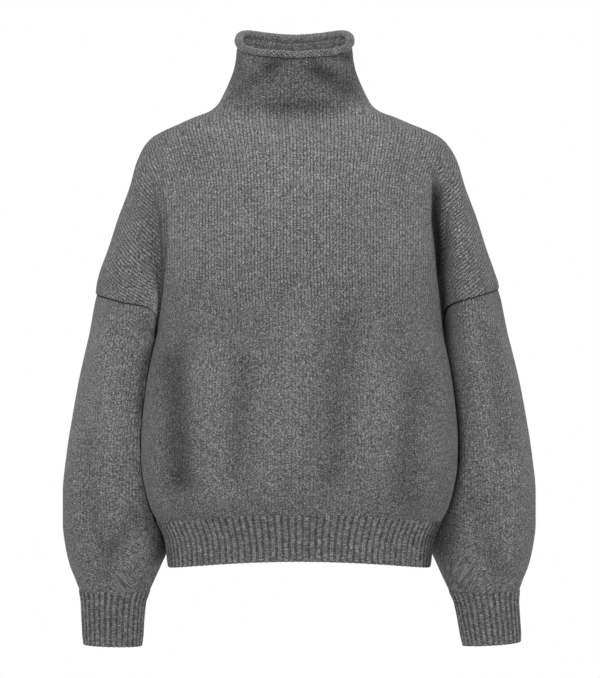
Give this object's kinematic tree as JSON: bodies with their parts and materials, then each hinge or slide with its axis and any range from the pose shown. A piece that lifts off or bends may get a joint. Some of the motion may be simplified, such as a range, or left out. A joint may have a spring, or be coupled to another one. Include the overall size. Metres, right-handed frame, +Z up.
{
  "type": "turtleneck sweater",
  "caption": "Hollow knitted pullover in its worn form, with dropped shoulders, full sleeves, a rolled funnel collar and ribbed hem and cuffs.",
  "frame": {"origin": "middle of the neck base, level with the top of the shoulders", "axes": "+X to the wearer's left, +Y to the wearer's back, +Z up along the body"},
  "size_m": [0.62, 0.2489, 0.8042],
  "materials": {
    "knit": "plain knit wool, grey melange",
    "rib": "1x1 rib knit wool, grey melange"
  },
  "bodies": {
    "root": {"front": "knit", "back": "knit", "sleeve_left": "knit", "sleeve_right": "knit", "collar": "knit", "hem_rib_front": "rib", "hem_rib_back": "rib", "cuff_left": "rib", "cuff_right": "rib"}
  },
  "joints": []
}
